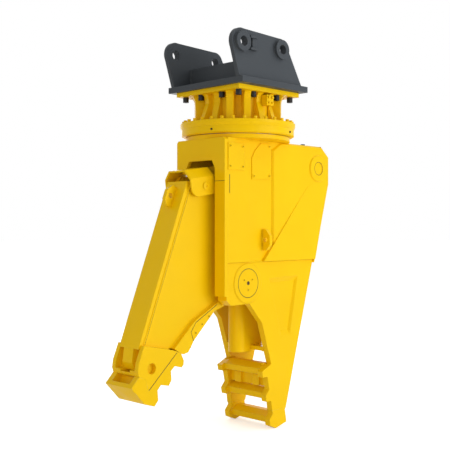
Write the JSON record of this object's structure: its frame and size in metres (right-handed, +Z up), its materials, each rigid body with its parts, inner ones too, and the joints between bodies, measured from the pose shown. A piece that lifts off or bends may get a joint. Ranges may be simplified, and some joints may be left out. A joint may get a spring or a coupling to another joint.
{
  "type": "concrete pulverizer",
  "caption": "Rotating concrete pulverizer for an excavator: yellow body with a toothed swinging jaw, hanging on a motor-driven slew ring under a two-pin bracket.",
  "frame": {"origin": "centre of the stick pin bore, midway between the ears", "axes": "+Z up out of the excavator end, +X from the moving jaw to the fixed jaw, +Y along the pins"},
  "size_m": [1.7752, 0.796, 2.666],
  "materials": {
    "yellow_paint": "satin",
    "grey_paint": "satin",
    "black_steel": "satin",
    "bare_steel": "satin",
    "chrome_rod": "polished",
    "bronze": "satin"
  },
  "bodies": {
    "bracket": {"bracket_plate": "grey_paint", "left_ear": "grey_paint", "right_ear": "grey_paint", "ear_bosses": "grey_paint", "cross_wall": "grey_paint", "pin_lock": "grey_paint", "bracket_bolts": "black_steel", "pedestal": "yellow_paint", "slew_outer_ring": "yellow_paint", "ring_bolts": "yellow_paint", "grease_nipples": "black_steel", "slew_balls": "bare_steel", "slew_motor": "yellow_paint", "motor_manifold": "yellow_paint", "swivel_core": "bare_steel"},
    "pinion": {"slew_pinion": "bare_steel"},
    "housing": {"slew_inner_ring": "bare_steel", "swivel_housing": "bare_steel", "housing_neck": "yellow_paint", "top_deck": "yellow_paint", "front_plate": "yellow_paint", "back_plate": "yellow_paint", "left_side_plate": "yellow_paint", "right_side_plate": "yellow_paint", "pivot_cheeks": "yellow_paint", "front_side_panels": "yellow_paint", "rear_side_panels": "yellow_paint", "side_covers": "yellow_paint", "cover_screws": "yellow_paint", "deck_bolts": "black_steel", "body_lugs": "yellow_paint", "pivot_pin": "bare_steel", "pivot_caps": "yellow_paint", "rear_pin": "bare_steel", "rear_pin_bosses": "yellow_paint", "throat_column": "yellow_paint", "throat_shelf": "yellow_paint", "jaw_bars": "yellow_paint", "bar_web": "yellow_paint", "tip_shoe": "yellow_paint"},
    "jaw": {"jaw_left_plate": "yellow_paint", "jaw_right_plate": "yellow_paint", "jaw_front_cover": "yellow_paint", "jaw_back_plate": "yellow_paint", "jaw_hub": "yellow_paint", "hub_bushes": "bronze", "throat_band": "yellow_paint", "shoe_block": "yellow_paint", "tooth_shoe": "yellow_paint", "shoe_pin": "bare_steel", "jaw_nose": "yellow_paint", "cutter_blades": "yellow_paint", "blade_bolts": "yellow_paint", "jaw_lug": "yellow_paint", "jaw_pin": "bare_steel"},
    "rod": {"piston_rod": "chrome_rod", "piston": "bare_steel", "rod_hood": "yellow_paint"},
    "barrel": {"cylinder_barrel": "yellow_paint", "cylinder_gland": "yellow_paint"}
  },
  "joints": [
    {"name": "slew", "type": "hinge", "parent": "bracket", "child": "housing", "pos_m": [0.305, 0, -0.552], "axis": [0, 0, 1], "continuous": true},
    {"name": "pinion_spin", "type": "hinge", "parent": "bracket", "child": "pinion", "pos_m": [0.305, -0.195, -0.552], "axis": [0, 0, 1], "continuous": true},
    {"name": "jaw_pivot", "type": "hinge", "parent": "housing", "child": "jaw", "pos_m": [0.175, 0, -1.564], "axis": [0, -1, 0], "range_deg": [0, 54]},
    {"name": "rod_pivot", "type": "hinge", "parent": "jaw", "child": "rod", "pos_m": [-0.122, 0, -0.924], "axis": [0, -1, 0], "range_deg": [-38.4, 0]},
    {"name": "barrel_slide", "type": "slide", "parent": "rod", "child": "barrel", "axis": [0.9886, 0, 0.1505], "range_m": [0, 0.5515]}
  ],
  "couplings": [
    {"joint": "pinion_spin", "follows": "slew", "ratio": 4},
    {"joint": "rod_pivot", "follows": "jaw_pivot", "ratio": -0.7105},
    {"joint": "barrel_slide", "follows": "jaw_pivot", "m_per_rad": 0.585}
  ]
}
